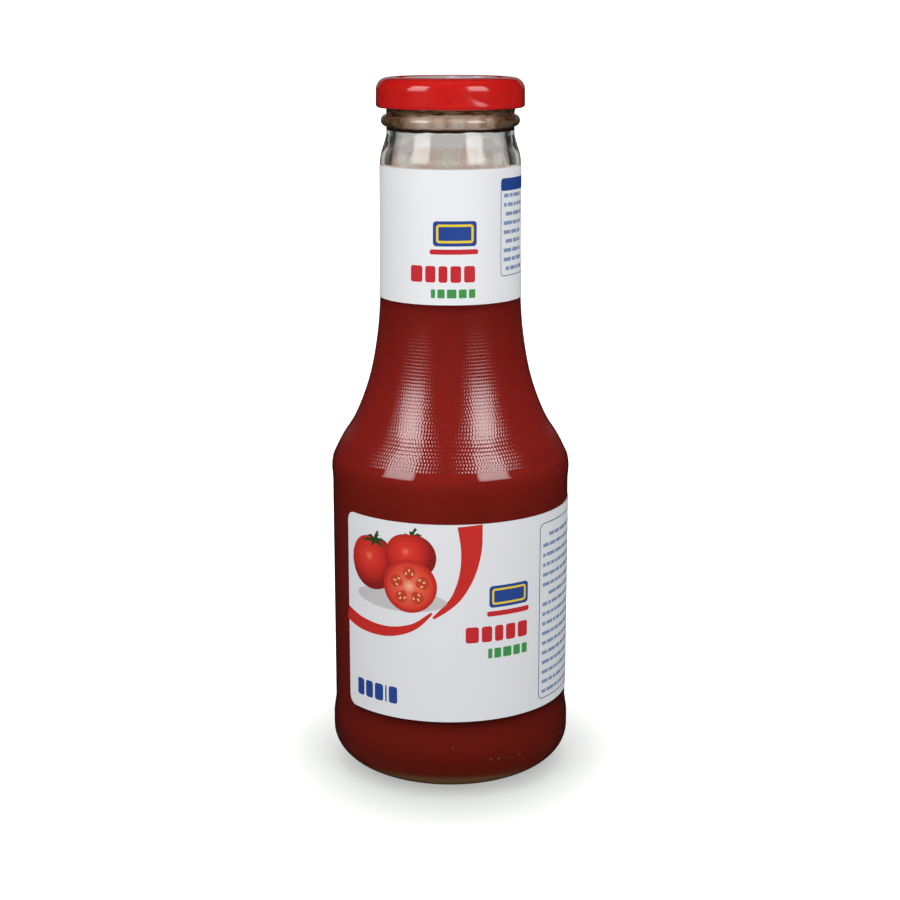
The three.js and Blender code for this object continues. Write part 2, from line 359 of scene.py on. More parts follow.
def innerProfile():
    b = bottle
    bodyInside = b["panelRadius"] - b["bodyWall"]
    floor = [
        (0, b["innerFloorZ"]), (6, b["innerFloorZ"] - 0.05),
        (b["innerFloorRadius"] * 0.7, b["innerFloorZ"] - 0.5),
    ]
    heel = arcPoints(
        b["innerFloorRadius"], b["innerHeelHeight"] + b["innerHeelBottomZ"],
        bodyInside - b["innerFloorRadius"], b["innerHeelHeight"], -90, 0, 16,
    )

    def wallAt(z):
        share = min(max((z - b["panelTopZ"]) / (b["neckFootZ"] - b["panelTopZ"]), 0), 1)
        return b["bodyWall"] + (b["neckWall"] - b["bodyWall"]) * share

    above = [p for p in outerProfile() if b["panelTopZ"] - 3 <= p[1] < b["neckTopZ"] + 1]
    neck = insetPoints([(b["panelRadius"], b["panelTopZ"] - 10)] + above, wallAt)[1:]
    top = smoothPoints([
        neck[-1], (b["boreRadius"] + 0.9, 195.5), (b["boreRadius"] + b["boreFlare"], b["finishFootZ"]),
        (b["boreRadius"], b["beadZ"]),
    ], 12)
    return withoutRepeats(floor + heel + neck + top)


# How far the thread's ridges stand out of the finish
def threadRise(angle, z):
    b = bottle
    rise = 0
    for i in range(b["threadStarts"]):
        t = ((angle - b["firstThreadAngle"] - 360 / b["threadStarts"] * i) % 360) / b["threadSweep"]
        if t > 1:
            continue
        middle = b["threadTopZ"] - b["threadDrop"] * t
        swell = min(1, 6 * t, 6 * (1 - t))
        away = abs(z - middle) / (b["threadHeight"] / 2)
        rise = max(rise, b["threadDepth"] * swell * (1 - easeStep(away, 0.35, 1.0)))
    return rise


def makeGlass():
    b = bottle
    standRadius, pushUp, finish = b["standInnerRadius"], b["pushUpHeight"], b["finishRadius"]
    base = smoothPoints([
        (0, pushUp), (standRadius * 0.62, pushUp - 0.3), (standRadius - 1.6, pushUp - 1.3), (standRadius, 0),
    ], 12)
    base.append(((standRadius + b["standOuterRadius"]) / 2, 0))
    bead = arcPoints(finish, b["beadZ"], b["beadRadius"] - finish, b["beadHalfHeight"], -90, 90, 14)
    threadRows = linePoints((finish, b["threadRowsBottomZ"]), (finish, b["threadRowsTopZ"]), 25)
    rounding = b["mouthRounding"]
    lip = arcPoints(finish - rounding, b["mouthZ"] - rounding, rounding, rounding, 0, 90, 5)
    rounding = b["boreRounding"]
    mouth = arcPoints(b["boreRadius"] + rounding, b["mouthZ"] - rounding, rounding, rounding, 90, 180, 4)
    outside = base + outerProfile() + bead + threadRows + lip
    profile = withoutRepeats(outside + mouth + innerProfile()[::-1])
    turnAt = max(range(len(profile)), key=lambda i: profile[i][1])

    def shape(angle, r, z):
        if b["threadRowsBottomZ"] - 0.1 < z < b["threadRowsTopZ"] + 0.1 and r > finish - 0.2:
            r += threadRise(angle, z)
        return r, max(z, 0)

    smooth = glassMaterial("fire-polished container glass", False)
    glass = turnedPiece("glass", profile, b["columns"], smooth, shape, sharp=60)
    glass.data.materials.append(glassMaterial("stippled container glass", True))
    outsideFaces = turnAt * b["columns"]
    for face in glass.data.polygons:
        z = face.center.z / mm
        if face.index < outsideFaces and stipple["bottomZ"] < z < stipple["topZ"]:
            face.material_index = 1
    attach(glass, "root")
    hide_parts("glass_bottle")
    return smooth


clearGlass = makeGlass()
print("glass made")

# Mould marks: small raised dots low on the right of the heel
mouldMarks = {
    "spots": ((12.4, 11.8), (14.9, 11.7), (17.1, 11.6), (21.5, 11.5), (0.8, 16.6)),   # across and up
    "radius": 0.45, "height": 0.14, "sides": 12,
    "rings": ((1.0, -0.25), (1.0, 0.0), (0.75, 0.6), (0.4, 0.92)),    # shares of the radius and height
}


def makeMouldMarks():
    m = mouldMarks
    sides = m["sides"]
    wall = outerProfile()
    vertices = []
    faces = []
    for across, z in m["spots"]:
        radius = radiusAt(wall, z)
        angle = math.asin(across / radius)
        outward = Vector((math.sin(angle), -math.cos(angle), 0))
        side = Vector((math.cos(angle), math.sin(angle), 0))
        upward = outward.cross(side).normalized()
        centre = Vector(place(radius, math.degrees(angle), z))
        start = len(vertices)
        for ring, (share, lift) in enumerate(m["rings"]):
            low = start + (ring - 1) * sides
            high = start + ring * sides
            for k in range(sides):
                turn = 2 * math.pi * k / sides
                spread = side * math.cos(turn) + upward * math.sin(turn)
                spot = spread * m["radius"] * share + outward * m["height"] * lift
                vertices.append(centre + spot * mm)
                if ring:
                    after = (k + 1) % sides
                    faces.append((low + k, low + after, high + after, high + k))
        faces.append([high + k for k in range(sides)])
        faces.append([start + k for k in reversed(range(sides))])
    marks = addPiece("mould_marks", vertices, faces, clearGlass, sharp=80)
    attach(marks, "root")


makeMouldMarks()

# The ketchup
sauce = {
    "fillZ": 186, "intoWall": 0.15, "meniscus": 0.4, "creep": 0.25, "ripple": 0.12, "columns": 144,
    # the colour and strength of its painted glow at each height, which stands in for light; its lowest edge
    # glows olive-brown, painted light for the thick glass of the base
    "glow": (
        (5.5, "#a67c50", 0.27), (6.3, "#c83e28", 0.12), (12, "#c83e28", 0.075), (20, "#c83e28", 0.03),
        (88, "#c83a28", 0.035), (97, "#c82c24", 0.11), (104, "#c82220", 0.22), (118, "#c82220", 0.24),
        (135, "#c82220", 0.19), (150, "#c82220", 0.15),
    ),
    "paintedGlowTopZ": 200,
}


# Cooked tomato ketchup: thick and opaque, wetted to the glass so that it hardly shines
def ketchupMaterial():
    material, tree = startMaterial("tomato ketchup")
    spot = addNode(tree, "TexCoord").outputs["Object"]
    # slow clouds about 20 mm across and pulp of about 0.8 mm
    clouds = addNode(tree, "TexNoise", inputs={"Vector": spot, "Scale": 50, "Detail": 3})
    pulp = addNode(tree, "TexNoise", inputs={"Vector": spot, "Scale": 1200, "Detail": 2})
    blend = addNode(tree, "Math", "MULTIPLY_ADD", (pulp, 0.3, clouds))
    colours = addNode(tree, "ValToRGB", {"stops": ((0.35, "#b63127"), (0.95, "#c4362b"))}, (blend,))
    relief = addNode(tree, "Bump", inputs={"Height": pulp, "Distance": 0.0001, "Strength": 0.3})
    # a painted glow, which no lamp gives, keeps it from going black, most of all in the shoulder
    up = addNode(tree, "SeparateXYZ", inputs=(spot,)).outputs[2]
    height = addNode(tree, "MapRange", inputs=(up, 0.0, sauce["paintedGlowTopZ"] * mm, 0.0, 1.0))
    stops = [(z / sauce["paintedGlowTopZ"], toLinear(colour, strength)) for z, colour, strength in sauce["glow"]]
    paintedGlow = addNode(tree, "ValToRGB", {"stops": stops}, (height,))
    shader = addNode(tree, "BsdfPrincipled", inputs={
        "Base Color": colours, "Roughness": 0.45, "IOR": 1.36, "Specular IOR Level": 0.12,
        "Emission Color": paintedGlow, "Emission Strength": 1.0, "Normal": relief,
    })
    addNode(tree, "OutputMaterial", inputs={"Surface": shader})
    return material


def makeKetchup():
    fillZ = sauce["fillZ"]
    wall = [p for p in innerProfile() if p[1] < fillZ - 1]
    outside = insetPoints(wall, lambda z: -sauce["intoWall"])
    outside[0] = (0, bottle["innerFloorZ"] - sauce["intoWall"])
    brim = outside[-1][0]
    top = [
        (brim, fillZ - 0.6), (brim, fillZ + 0.5), (brim, fillZ + 1), (brim - 0.35, fillZ + 0.95),
        (brim - 0.6, fillZ + 0.4), (brim - 1.4, fillZ + 0.05), (brim - 4, fillZ),
        (brim * 0.5, fillZ - 0.05), (brim * 0.2, fillZ + 0.1), (0, fillZ),
    ]

    # its rim creeps up the glass unevenly, and its top isn't quite level
    def shape(angle, r, z):
        if z > fillZ - 0.8:
            share = min(max(z - fillZ, 0), 1) if r > brim - 1.3 else 0
            creep = sauce["meniscus"] + sauce["creep"] * wave(angle, 2.1, (3, 7, 13, 29))
            z = fillZ + (z - fillZ) * (1 - share) + share * creep
            z += sauce["ripple"] * wave(angle, 0.7, (2, 5)) * min(1, r / 8)
        return r, z

    profile = withoutRepeats(outside + top)
    ketchup = turnedPiece("ketchup", profile, sauce["columns"], ketchupMaterial(), shape, sharp=180)
    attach(ketchup, "root")
    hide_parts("ketchup")


makeKetchup()


# A thin closed ring on the inner side of the glass, given as (radius, z) up the wall
def addCoating(name, wall, settings, material, shape=None):
    outside = [(r + settings["intoWall"], z) for r, z in wall]
    inside = [(r - settings["intoMouth"], z) for r, z in wall[::-1]]
    ring = turnedPiece(name, outside + inside, 120, material, shape, closed=True, sharp=180)
    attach(ring, "root")


# Painted shade inside the mouth: a brown sheet on the glass under the lid, where there is only shade, with
# painted light across its front
mouthShadeAndLight = {
    "rows": (200.1, 201.5, 203.1, 208, 213.2), "intoWall": 0.12, "intoMouth": 0.3, "wavyEdge": 0.3,
    "paintedShade": ((0.36, "#5e3618"), (0.5, "#b48858"), (0.62, "#f4e0ca")),
    "paintedLight": ((0.36, "#907462"), (0.5, "#cebcb2"), (0.62, "#fbf6f4")),
    "seenThroughTint": ((0.0, "#ecd8c4"), (1.0, "#c89c70")),      # how it tints what shows through it
    "edge": "#3c2412",
}


# Painted shade: a brown, uneven, dull sheet, partly see-through, with painted light in front and behind
def mouthShadeAndLightMaterial():
    material, tree = startMaterial("painted shade and light in the mouth")
    spot = addNode(tree, "TexCoord").outputs["Object"]
    x, _, z = addNode(tree, "SeparateXYZ", inputs=(spot,)).outputs
    # streaks about 4 mm long and 1 mm high run round the mouth
    stretch = addNode(tree, "Mapping", inputs={"Vector": spot, "Scale": (260, 260, 1100)})
    blotches = addNode(tree, "TexNoise", inputs={"Vector": stretch, "Scale": 1, "Detail": 5})
    brown = addNode(tree, "ValToRGB", {"stops": mouthShadeAndLight["paintedShade"]}, (blotches,))
    paintedLight = addNode(tree, "ValToRGB", {"stops": mouthShadeAndLight["paintedLight"]}, (blotches,))
    # painted light in front and behind, painted shade at the sides and above the bead
    aside = addNode(tree, "Math", "ABSOLUTE", (x,))
    sides = addNode(tree, "MapRange", {"interpolation_type": "SMOOTHSTEP"}, (aside, 0.009, 0.014, 0.0, 1.0))
    above = addNode(tree, "MapRange", inputs=(z, 0.2044, 0.2056, 0.0, 1.0))
    paintedShade = addNode(tree, "Math", "MAXIMUM", (sides, above))
    patchy = addNode(tree, "MapRange", inputs=(blotches, 0.35, 0.65, 0.9, 0.25))
    weight = addNode(tree, "MapRange", inputs=(paintedShade, 0.0, 1.0, 0.6, 1.0))
    cover = addNode(tree, "Math", "MULTIPLY", (patchy, weight))
    # the painted light in front and behind also glows, though no lamp is there
    glow = addNode(tree, "MapRange", inputs=(paintedShade, 0.0, 1.0, 0.95, 0.06))
    tint = addNode(tree, "Mix", {"data_type": "RGBA"}, {0: paintedShade, 6: paintedLight, 7: brown})
    # its lower edge, just under the bead, is a dark line of painted shade
    edge = addNode(tree, "MapRange", inputs=(z, 0.2009, 0.2014, 1.0, 0.0))
    tint = addNode(tree, "Mix", {"data_type": "RGBA"}, {0: edge, 6: tint.outputs[2], 7: mouthShadeAndLight["edge"]})
    aboveEdge = addNode(tree, "Math", "SUBTRACT", (1.0, edge))
    glow = addNode(tree, "Math", "MULTIPLY", (glow, aboveEdge))
    edgeCover = addNode(tree, "Math", "MULTIPLY", (edge, 0.9))
    cover = addNode(tree, "Math", "MAXIMUM", (cover, edgeCover))
    dull = addNode(tree, "BsdfPrincipled", inputs={
        "Base Color": tint.outputs[2], "Roughness": 0.5, "Specular IOR Level": 0.3,
        "Emission Color": tint.outputs[2], "Emission Strength": glow,
    })
    seenThroughTint = addNode(tree, "ValToRGB", {"stops": mouthShadeAndLight["seenThroughTint"]}, (sides,))
    clear = addNode(tree, "BsdfTransparent", inputs={"Color": seenThroughTint})
    shader = addNode(tree, "MixShader", inputs=(cover, clear, dull))
    addNode(tree, "OutputMaterial", inputs={"Surface": shader})
    return material


def makeMouthShadeAndLight():
    b = bottle
    bore = ((b["boreRadius"] + b["boreFlare"], b["finishFootZ"]), (b["boreRadius"], b["beadZ"]))

    def shape(angle, r, z):
        if z < mouthShadeAndLight["rows"][0] + 0.5:
            z += mouthShadeAndLight["wavyEdge"] * wave(angle, 4.0, (3, 8, 17))
        return r, z

    addCoating("mouth_painted_shade_and_light", [(radiusAt(bore, z), z) for z in mouthShadeAndLight["rows"]], mouthShadeAndLight, mouthShadeAndLightMaterial(), shape)


makeMouthShadeAndLight()

# Thin smears of sauce left on the glass just above its level
smears = {"bottomZ": 186.8, "topZ": 193.5, "intoWall": 0.06, "intoMouth": 0.04}


# A wiped film of sauce, thin enough to see through: rosy tan in patches and clear between them
def smearMaterial():
    material, tree = startMaterial("thin sauce smear")
    spot = addNode(tree, "TexCoord").outputs["Object"]
    z = addNode(tree, "SeparateXYZ", inputs=(spot,)).outputs[2]
    # patches about 7 mm across that fade upwards
    patches = addNode(tree, "TexNoise", inputs={"Vector": spot, "Scale": 140, "Detail": 3})
    up = addNode(tree, "MapRange", inputs=(z, smears["bottomZ"] * mm, smears["topZ"] * mm, 0.12, -0.16))
    level = addNode(tree, "Math", "ADD", (patches, up))
    cover = addNode(tree, "MapRange", inputs=(level, 0.49, 0.68, 0.0, 0.36))
    # its patches are given a painted glow, which no lamp gives, so that they stay light
    dull = addNode(tree, "BsdfPrincipled", inputs={
        "Base Color": "#e6b090", "Roughness": 0.5, "Specular IOR Level": 0.2,
        "Emission Color": "#e6c4b2", "Emission Strength": 0.55,
    })
    clear = addNode(tree, "BsdfTransparent", inputs={"Color": (1, 1, 1, 1)})
    shader = addNode(tree, "MixShader", inputs=(cover, clear, dull))
    addNode(tree, "OutputMaterial", inputs={"Surface": shader})
    return material


def makeSmears():
    wall = [p for p in innerProfile() if smears["bottomZ"] - 1 < p[1] < smears["topZ"]]
    rows = np.linspace(smears["bottomZ"], smears["topZ"], 8)
    addCoating("sauce_smears", [(radiusAt(wall, z), z) for z in rows], smears, smearMaterial())


makeSmears()
print("contents made")

# The lid
lidSettings = {
    "radius": 22.5, "wallRadius": 22.35, "bottomZ": 206.9, "topZ": 215.9, "shoulder": 3.5, "curl": 0.95,
    "tin": 0.6, "rimInnerRadius": 17.4, "grooveRadius": 15.8, "grooveDepth": 0.7, "panelRadius": 14.4,
    "panelFlatRadius": 11.5, "panelDrop": 0.06,
    "lugs": 4, "lugWidth": 5.6, "firstLug": 23, "dimpleDepth": 0.17, "lugSlant": 2.2, "columns": 180,
}


# Tinplate, pressed and stove-lacquered red: a smooth glossy coat that follows tiny ripples in the metal
def lidMaterial():
    material, tree = startMaterial("red lacquered tinplate")
    spot = addNode(tree, "TexCoord").outputs["Object"]
    # rolled sheet: ripples about 3 mm apart
    ripple = addNode(tree, "TexNoise", inputs={"Vector": spot, "Scale": 330, "Detail": 2})
    colours = addNode(tree, "ValToRGB", {"stops": ((0.3, "#c81815"), (0.7, "#d11d19"))}, (ripple,))
    relief = addNode(tree, "Bump", inputs={"Height": ripple, "Distance": 0.00004, "Strength": 0.6})
    shader = addNode(tree, "BsdfPrincipled", inputs={
        "Base Color": colours, "Roughness": 0.16, "IOR": 1.5, "Coat Weight": 1.0, "Coat IOR": 2.0,
        "Coat Roughness": 0.08, "Normal": relief,
    })
    addNode(tree, "OutputMaterial", inputs={"Surface": shader})
    return material


# Gold protective lacquer inside the lid: a warm see-through varnish over bright tin
def goldMaterial():
    material, tree = startMaterial("gold lacquered tinplate")
    spot = addNode(tree, "TexCoord").outputs["Object"]
    ripple = addNode(tree, "TexNoise", inputs={"Vector": spot, "Scale": 330, "Detail": 2})
    relief = addNode(tree, "Bump", inputs={"Height": ripple, "Distance": 0.00004, "Strength": 0.5})
    shader = addNode(tree, "BsdfPrincipled", inputs={
        "Base Color": "#b08a4a", "Metallic": 0.8, "Roughness": 0.35, "Normal": relief,
    })
    addNode(tree, "OutputMaterial", inputs={"Surface": shader})
    return material


def makeLid():
    s = lidSettings
    topZ, tin, bend, groove = s["topZ"], s["tin"], s["shoulder"], s["grooveRadius"]
    shoulderZ = topZ - 0.15 - bend
    grooveZ = topZ - s["grooveDepth"]
    bendRadius = s["wallRadius"] - bend
    curlZ = s["bottomZ"] + s["curl"]
    curlCentre = s["radius"] - s["curl"] - 0.08
    topMiddle = (s["rimInnerRadius"] + s["wallRadius"] - bend) / 2
    panelZ = topZ - s["panelDrop"]
    face = [(0, panelZ), (4, panelZ), (8, panelZ)] + smoothPoints([
        (s["panelFlatRadius"] - 0.5, panelZ), (s["panelFlatRadius"], panelZ),
        (s["panelRadius"] - 1.2, topZ - 0.1), (s["panelRadius"], topZ - 0.25),
        (groove - 0.3, grooveZ), (groove + 0.3, grooveZ), (s["rimInnerRadius"], topZ - 0.1),
        (topMiddle, topZ), (bendRadius, topZ - 0.15),
    ], 42)
    shoulder = arcPoints(bendRadius, shoulderZ, bend, bend, 90, 0, 12)
    wall = linePoints((s["wallRadius"], shoulderZ - 0.4), (s["wallRadius"] + 0.05, curlZ + 0.5), 14)
    curl = arcPoints(curlCentre, curlZ, s["curl"], s["curl"], 0, -200, 18)
    outside = [(r, min(z, topZ)) for r, z in face + shoulder + wall + curl]
    inside = [
        (curlCentre - s["curl"] + 0.1, curlZ + s["curl"] + 0.2),
        (s["wallRadius"] - tin, curlZ + s["curl"] + 0.7),
        *arcPoints(bendRadius, shoulderZ, bend - tin, bend - tin, 0, 90, 6),
        (s["rimInnerRadius"] + 0.4, topZ - 0.1 - tin), (groove + 0.5, grooveZ - tin),
        (groove - 0.5, grooveZ - tin), (s["panelRadius"] - 0.2, topZ - 0.3 - tin), (0, topZ - tin),
    ]
    profile = withoutRepeats(outside + inside)[::-1]
    lugHalf = math.degrees(s["lugWidth"] / 2 / s["radius"])
    lugPitch = 360 / s["lugs"]

    # the lugs are pressed in, and the skirt dips a little above each
    def shape(angle, r, z):
        if z > shoulderZ or r < s["wallRadius"] - 2.6:
            return r, z
        slant = s["lugSlant"] * (s["bottomZ"] + 2.6 - z)
        away = abs((angle - s["firstLug"] - slant + lugPitch / 2) % lugPitch - lugPitch / 2) / lugHalf
        spread = 1 - easeStep(away, 0.1, 1.0)
        low = 1 - easeStep(z, s["bottomZ"] + 2.4, s["bottomZ"] + 5.6)
        back = easeStep(z, s["bottomZ"] + 0.4, s["bottomZ"] + 2.6)
        return r - s["dimpleDepth"] * spread * low * back, z

    lid = turnedPiece("lid", profile, s["columns"], lidMaterial(), shape, sharp=50)
    lid.data.materials.append(goldMaterial())
    insideFaces = (len(inside) - 2) * s["columns"]
    for polygon in lid.data.polygons:
        if polygon.index < insideFaces:
            polygon.material_index = 1
    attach(lid, "root")
    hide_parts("lid")


makeLid()
print("lid made")

# The labels
labels = {
    "gap": 0.08, "paper": 0.12,
    "neckRadius": 21.5, "neckBottomZ": 150.2, "neckTopZ": 189.9, "neckRows": 16, "neckColumns": 144,
    "bodyBottomZ": 24.8, "bodyTopZ": 87, "bodyStart": -57.3, "bodyEnd": 260, "corner": 3,
    "lap": 0.1,             # mm that the neck label's lap stands proud behind
    "step": 1.1,            # mm between the sections of a field of ink, so that it follows the round
    "inkLift": 0.004, "layerLift": 0.012, "inkFoot": 0.005,     # mm above the paper, and down into it
}


# Coated label paper: even, bright and satin, with a faint cockle where the glue dried
def paperMaterial(name, colour, paintedGlowStrength=0.0):
    material, tree = startMaterial(name)
    spot = addNode(tree, "TexCoord").outputs["Object"]
    # cockle about 9 mm across, fibre of about 0.3 mm
    cockle = addNode(tree, "TexNoise", inputs={"Vector": spot, "Scale": 110, "Detail": 1})
    fibre = addNode(tree, "TexNoise", inputs={"Vector": spot, "Scale": 3000, "Detail": 2})
    height = addNode(tree, "Math", "MULTIPLY_ADD", (fibre, 0.12, cockle))
    tint = addNode(tree, "ValToRGB", {"stops": ((0.3, toLinear(colour, 0.985)), (0.7, colour))}, (fibre,))
    relief = addNode(tree, "Bump", inputs={"Height": height, "Distance": 0.00008, "Strength": 0.5})
    shader = addNode(tree, "BsdfPrincipled", inputs={
        "Base Color": tint, "Roughness": 0.42, "IOR": 1.5, "Normal": relief,
        # a painted glow, when one is asked for
        "Emission Color": colour, "Emission Strength": paintedGlowStrength,
    })
    addNode(tree, "OutputMaterial", inputs={"Surface": shader})
    return material


def neckGlassRadius(z):
    b = bottle
    share = min(max((z - b["neckFootZ"]) / b["neckTaper"], 0), 1)
    return b["neckFootRadius"] + (b["neckRadius"] - b["neckFootRadius"]) * share


# A point of a label: s millimetres to the right of the front, z up, and height above the paper
def neckPoint(s, z, height):
    radius = neckGlassRadius(z) + labels["gap"] + labels["paper"]
    return place(radius + height, math.degrees(s / labels["neckRadius"]), z)


def bodyPoint(s, z, height):
    radius = bottle["panelRadius"] + labels["gap"] + labels["paper"]
    return place(radius + height, math.degrees(s / radius), z)


def makeNeckLabel():
    def glue(angle, r, z):
        # the sleeve laps over itself behind
        lap = easeStep(angle, 171, 172.5) * (1 - easeStep(angle, 188, 189.5))
        isOutside = r > neckGlassRadius(z) + labels["gap"] + 0.02
        return r + labels["lap"] * lap * isOutside, z

    height = labels["neckTopZ"] - labels["neckBottomZ"]
    rows = [labels["neckBottomZ"] + height * i / labels["neckRows"] for i in range(labels["neckRows"] + 1)]
    inner = [(neckGlassRadius(z) + labels["gap"], z) for z in rows]
    outer = [(r + labels["paper"], z) for r, z in inner]
    white = paperMaterial("neck label paper", "#e9ebee")
    paper = turnedPiece("neck_label", outer + inner[::-1], labels["neckColumns"], white, glue, closed=True)
    # its glued side, seen through the empty glass, is given a painted glow in place of light that comes
    # through the paper
    paper.data.materials.append(paperMaterial("glued side of the paper with a painted glow", "#e9e6e1", 0.9))
    for polygon in paper.data.polygons:
        if polygon.index >= len(outer) * labels["neckColumns"]:
            polygon.material_index = 1
    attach(paper, "root")
    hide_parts("neck_label")


# Faces of a bar made of four-cornered sections, closed at both ends
def sectionFaces(first, count):
    faces = []
    for i in range(count - 1):
        for k in range(4):
            a = first + 4 * i + k
            b = first + 4 * i + (k + 1) % 4
            faces.append((a, a + 4, b + 4, b))
    last = first + 4 * (count - 1)
    faces.append((first, first + 1, first + 2, first + 3))
    faces.append((last + 3, last + 2, last + 1, last))
    return faces


def makeBodyLabel():
    perDegree = math.radians(1) * bottle["panelRadius"]
    corner, start, end = labels["corner"], labels["bodyStart"], labels["bodyEnd"]
    cornerTurns = [corner / perDegree * t for t in (0, 0.02, 0.08, 0.18, 0.34, 0.55, 0.78, 1)]
    angles = sorted(
        [start + turn for turn in cornerTurns] + [end - turn for turn in cornerTurns]
        + [start + 5 + (end - start - 10) * i / 150 for i in range(151)]
    )
    inner = bottle["panelRadius"] + labels["gap"]
    outer = inner + labels["paper"]
    vertices = []
    for angle in angles:
        toEdge = min(angle - start, end - angle) * perDegree
        short = max(corner - toEdge, 0)
        cut = corner - math.sqrt(max(corner**2 - short**2, 0))
        low, high = labels["bodyBottomZ"] + cut, labels["bodyTopZ"] - cut
        corners = ((inner, low), (outer, low), (outer, high), (inner, high))
        vertices += [place(radius, angle, z) for radius, z in corners]
    white = paperMaterial("body label paper", "#e4e6e9")
    paper = addPiece("body_label", vertices, sectionFaces(0, len(angles)), white)
    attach(paper, "root")
    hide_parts("body_label")


makeNeckLabel()
makeBodyLabel()


# The print is plain fields of colour, each a thin closed layer of ink on the paper
def newSheet(pointAt, layer):
    lift = labels["inkLift"] + labels["layerLift"] * layer
    return {"pointAt": pointAt, "lift": lift, "vertices": [], "faces": [], "uvs": []}


# A field of ink given as columns of (s, low z, high z)
def addField(sheet, columns, middle=(0, 0), reach=(1, 1)):
    filled = [columns[0]]
    for column in columns[1:]:
        before = filled[-1]
        steps = max(1, math.ceil((column[0] - before[0]) / labels["step"]))
        filled += linePoints(before, column, steps)[1:]
    first = len(sheet["vertices"])
    foot, lift = -labels["inkFoot"], sheet["lift"]
    for s, low, high in filled:
        high = max(high, low + 0.002)
        for z, height in ((low, foot), (low, lift), (high, lift), (high, foot)):
            sheet["vertices"].append(sheet["pointAt"](s, z, height))
            sheet["uvs"].append([(at - m) / r / 2 + 0.5 for at, m, r in zip((s, z), middle, reach)])
    sheet["faces"] += sectionFaces(first, len(filled))


def roundedColumns(left, right, low, high, corner):
    columns = []
    for t in (0, 0.04, 0.15, 0.33, 0.6, 1):
        cut = corner - math.sqrt(corner**2 - (corner - corner * t) ** 2)
        columns.append((left + corner * t, low + cut, high - cut))
    return columns + [(right - (s - left), bottom, top) for s, bottom, top in columns[::-1]]


# A line of ink along points, with a width for each point
def addStroke(sheet, points, widths):
    path = []
    for (p, wide), (q, nextWide) in zip(zip(points, widths), zip(points[1:], widths[1:])):
        steps = max(1, math.ceil(math.dist(p, q) / labels["step"]))
        path += linePoints((*p, wide), (*q, nextWide), steps)[:-1]
    path.append((*points[-1], widths[-1]))
    foot, lift = -labels["inkFoot"], sheet["lift"]
    # a wide line is laid as strips side by side, so that it follows the round bottle
    strips = math.ceil(max(widths) / labels["step"])
    for strip in range(strips):
        first = len(sheet["vertices"])
        near, far = 2 * strip / strips - 1, 2 * (strip + 1) / strips - 1
        for i, (s, z, width) in enumerate(path):
            a = path[max(i - 1, 0)]
            b = path[min(i + 1, len(path) - 1)]
            length = math.hypot(b[0] - a[0], b[1] - a[1]) or 1
            side = (-(b[1] - a[1]) / length * width / 2, (b[0] - a[0]) / length * width / 2)
            for edge, height in ((near, foot), (near, lift), (far, lift), (far, foot)):
                sheet["vertices"].append(sheet["pointAt"](s + edge * side[0], z + edge * side[1], height))
                sheet["uvs"].append((0.5, 0.5))
        sheet["faces"] += sectionFaces(first, len(path))


# A rounded frame, drawn as one line from the middle of its top and back
def addFrame(sheet, area, corner, width):
    left, right, low, high = area
    points = []
    for centre, start in (
        ((right - corner, high - corner), 90), ((right - corner, low + corner), 0),
        ((left + corner, low + corner), -90), ((left + corner, high - corner), -180),
    ):
        for i in range(6):
            angle = math.radians(start - 90 * i / 5)
            points.append((centre[0] + corner * math.cos(angle), centre[1] + corner * math.sin(angle)))
    points += [(left + corner, high), points[0]]
    addStroke(sheet, points, [width] * len(points))


def ellipseColumns(middle, reach, steps=14, dent=0.0):
    columns = []
    for i in range(steps + 1):
        turn = math.pi * i / steps
        s = middle[0] - reach[0] * math.cos(turn)
        half = reach[1] * math.sin(turn)
        dip = dent * math.exp(-((s - middle[0]) / (0.35 * reach[0])) ** 2)
        columns.append((s, middle[1] - half, middle[1] + half - dip * reach[1]))
    return columns


def finishSheet(name, sheet, material):
    piece = addPiece(name, sheet["vertices"], sheet["faces"], material, sharp=30)
    layer = piece.data.uv_layers.new(name="print")
    for loop in piece.data.loops:
        layer.data[loop.index].uv = sheet["uvs"][loop.vertex_index]
    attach(piece, "root")


# Offset ink under a satin varnish: flat and even, with the faintest mottle of the paper.
# Given stops, it is laid as a soft round shade, from the middle of a printed fruit to its edge.
def inkMaterial(name, colour, stops=None, middle=(0.5, 0.5)):
    material, tree = startMaterial(name)
    if stops:
        spot = addNode(tree, "UVMap", {"uv_map": "print"})
        shade = addNode(tree, "VectorMath", "DISTANCE", (spot, (*middle, 0))).outputs["Value"]
    else:
        spot = addNode(tree, "TexCoord").outputs["Object"]
        shade = addNode(tree, "TexNoise", inputs={"Vector": spot, "Scale": 1500, "Detail": 2})
        stops = ((0.3, toLinear(colour, 0.93)), (0.7, colour))
    tint = addNode(tree, "ValToRGB", {"stops": stops}, (shade,))
    shader = addNode(tree, "BsdfPrincipled", inputs={"Base Color": tint, "Roughness": 0.38, "IOR": 1.5})
    addNode(tree, "OutputMaterial", inputs={"Surface": shader})
    return material


fruitShade = ((0.0, "#f0705a"), (0.09, "#e0321f"), (0.32, "#c81d12"), (0.52, "#8a0f0b"))
cutShade = ((0.0, "#f6b79a"), (0.12, "#e8694a"), (0.40, "#dd3b22"), (0.46, "#c21f14"))
inks = {
    "blue": inkMaterial("blue ink", "#1d4596"),
    "red": inkMaterial("red ink", "#cc1d2a"),
    "band": inkMaterial("tomato red ink", "#cf2018"),
    "green": inkMaterial("green ink", "#3f9b4b"),
    "yellow": inkMaterial("yellow ink", "#f2d21e"),
    "text": inkMaterial("small blue print", "#8599bd"),
    "leaf": inkMaterial("leaf ink", "#2f4a1c"),
    "shade": inkMaterial("shade ink", "#c9c6c6"),
    "seed": inkMaterial("seed ink", "#f0c58a"),
    "pulp": inkMaterial("pulp ink", "#c63a1c"),
    "fruit": inkMaterial("tomato ink", None, fruitShade, (0.42, 0.6)),
    "cut": inkMaterial("cut tomato ink", None, cutShade),
}

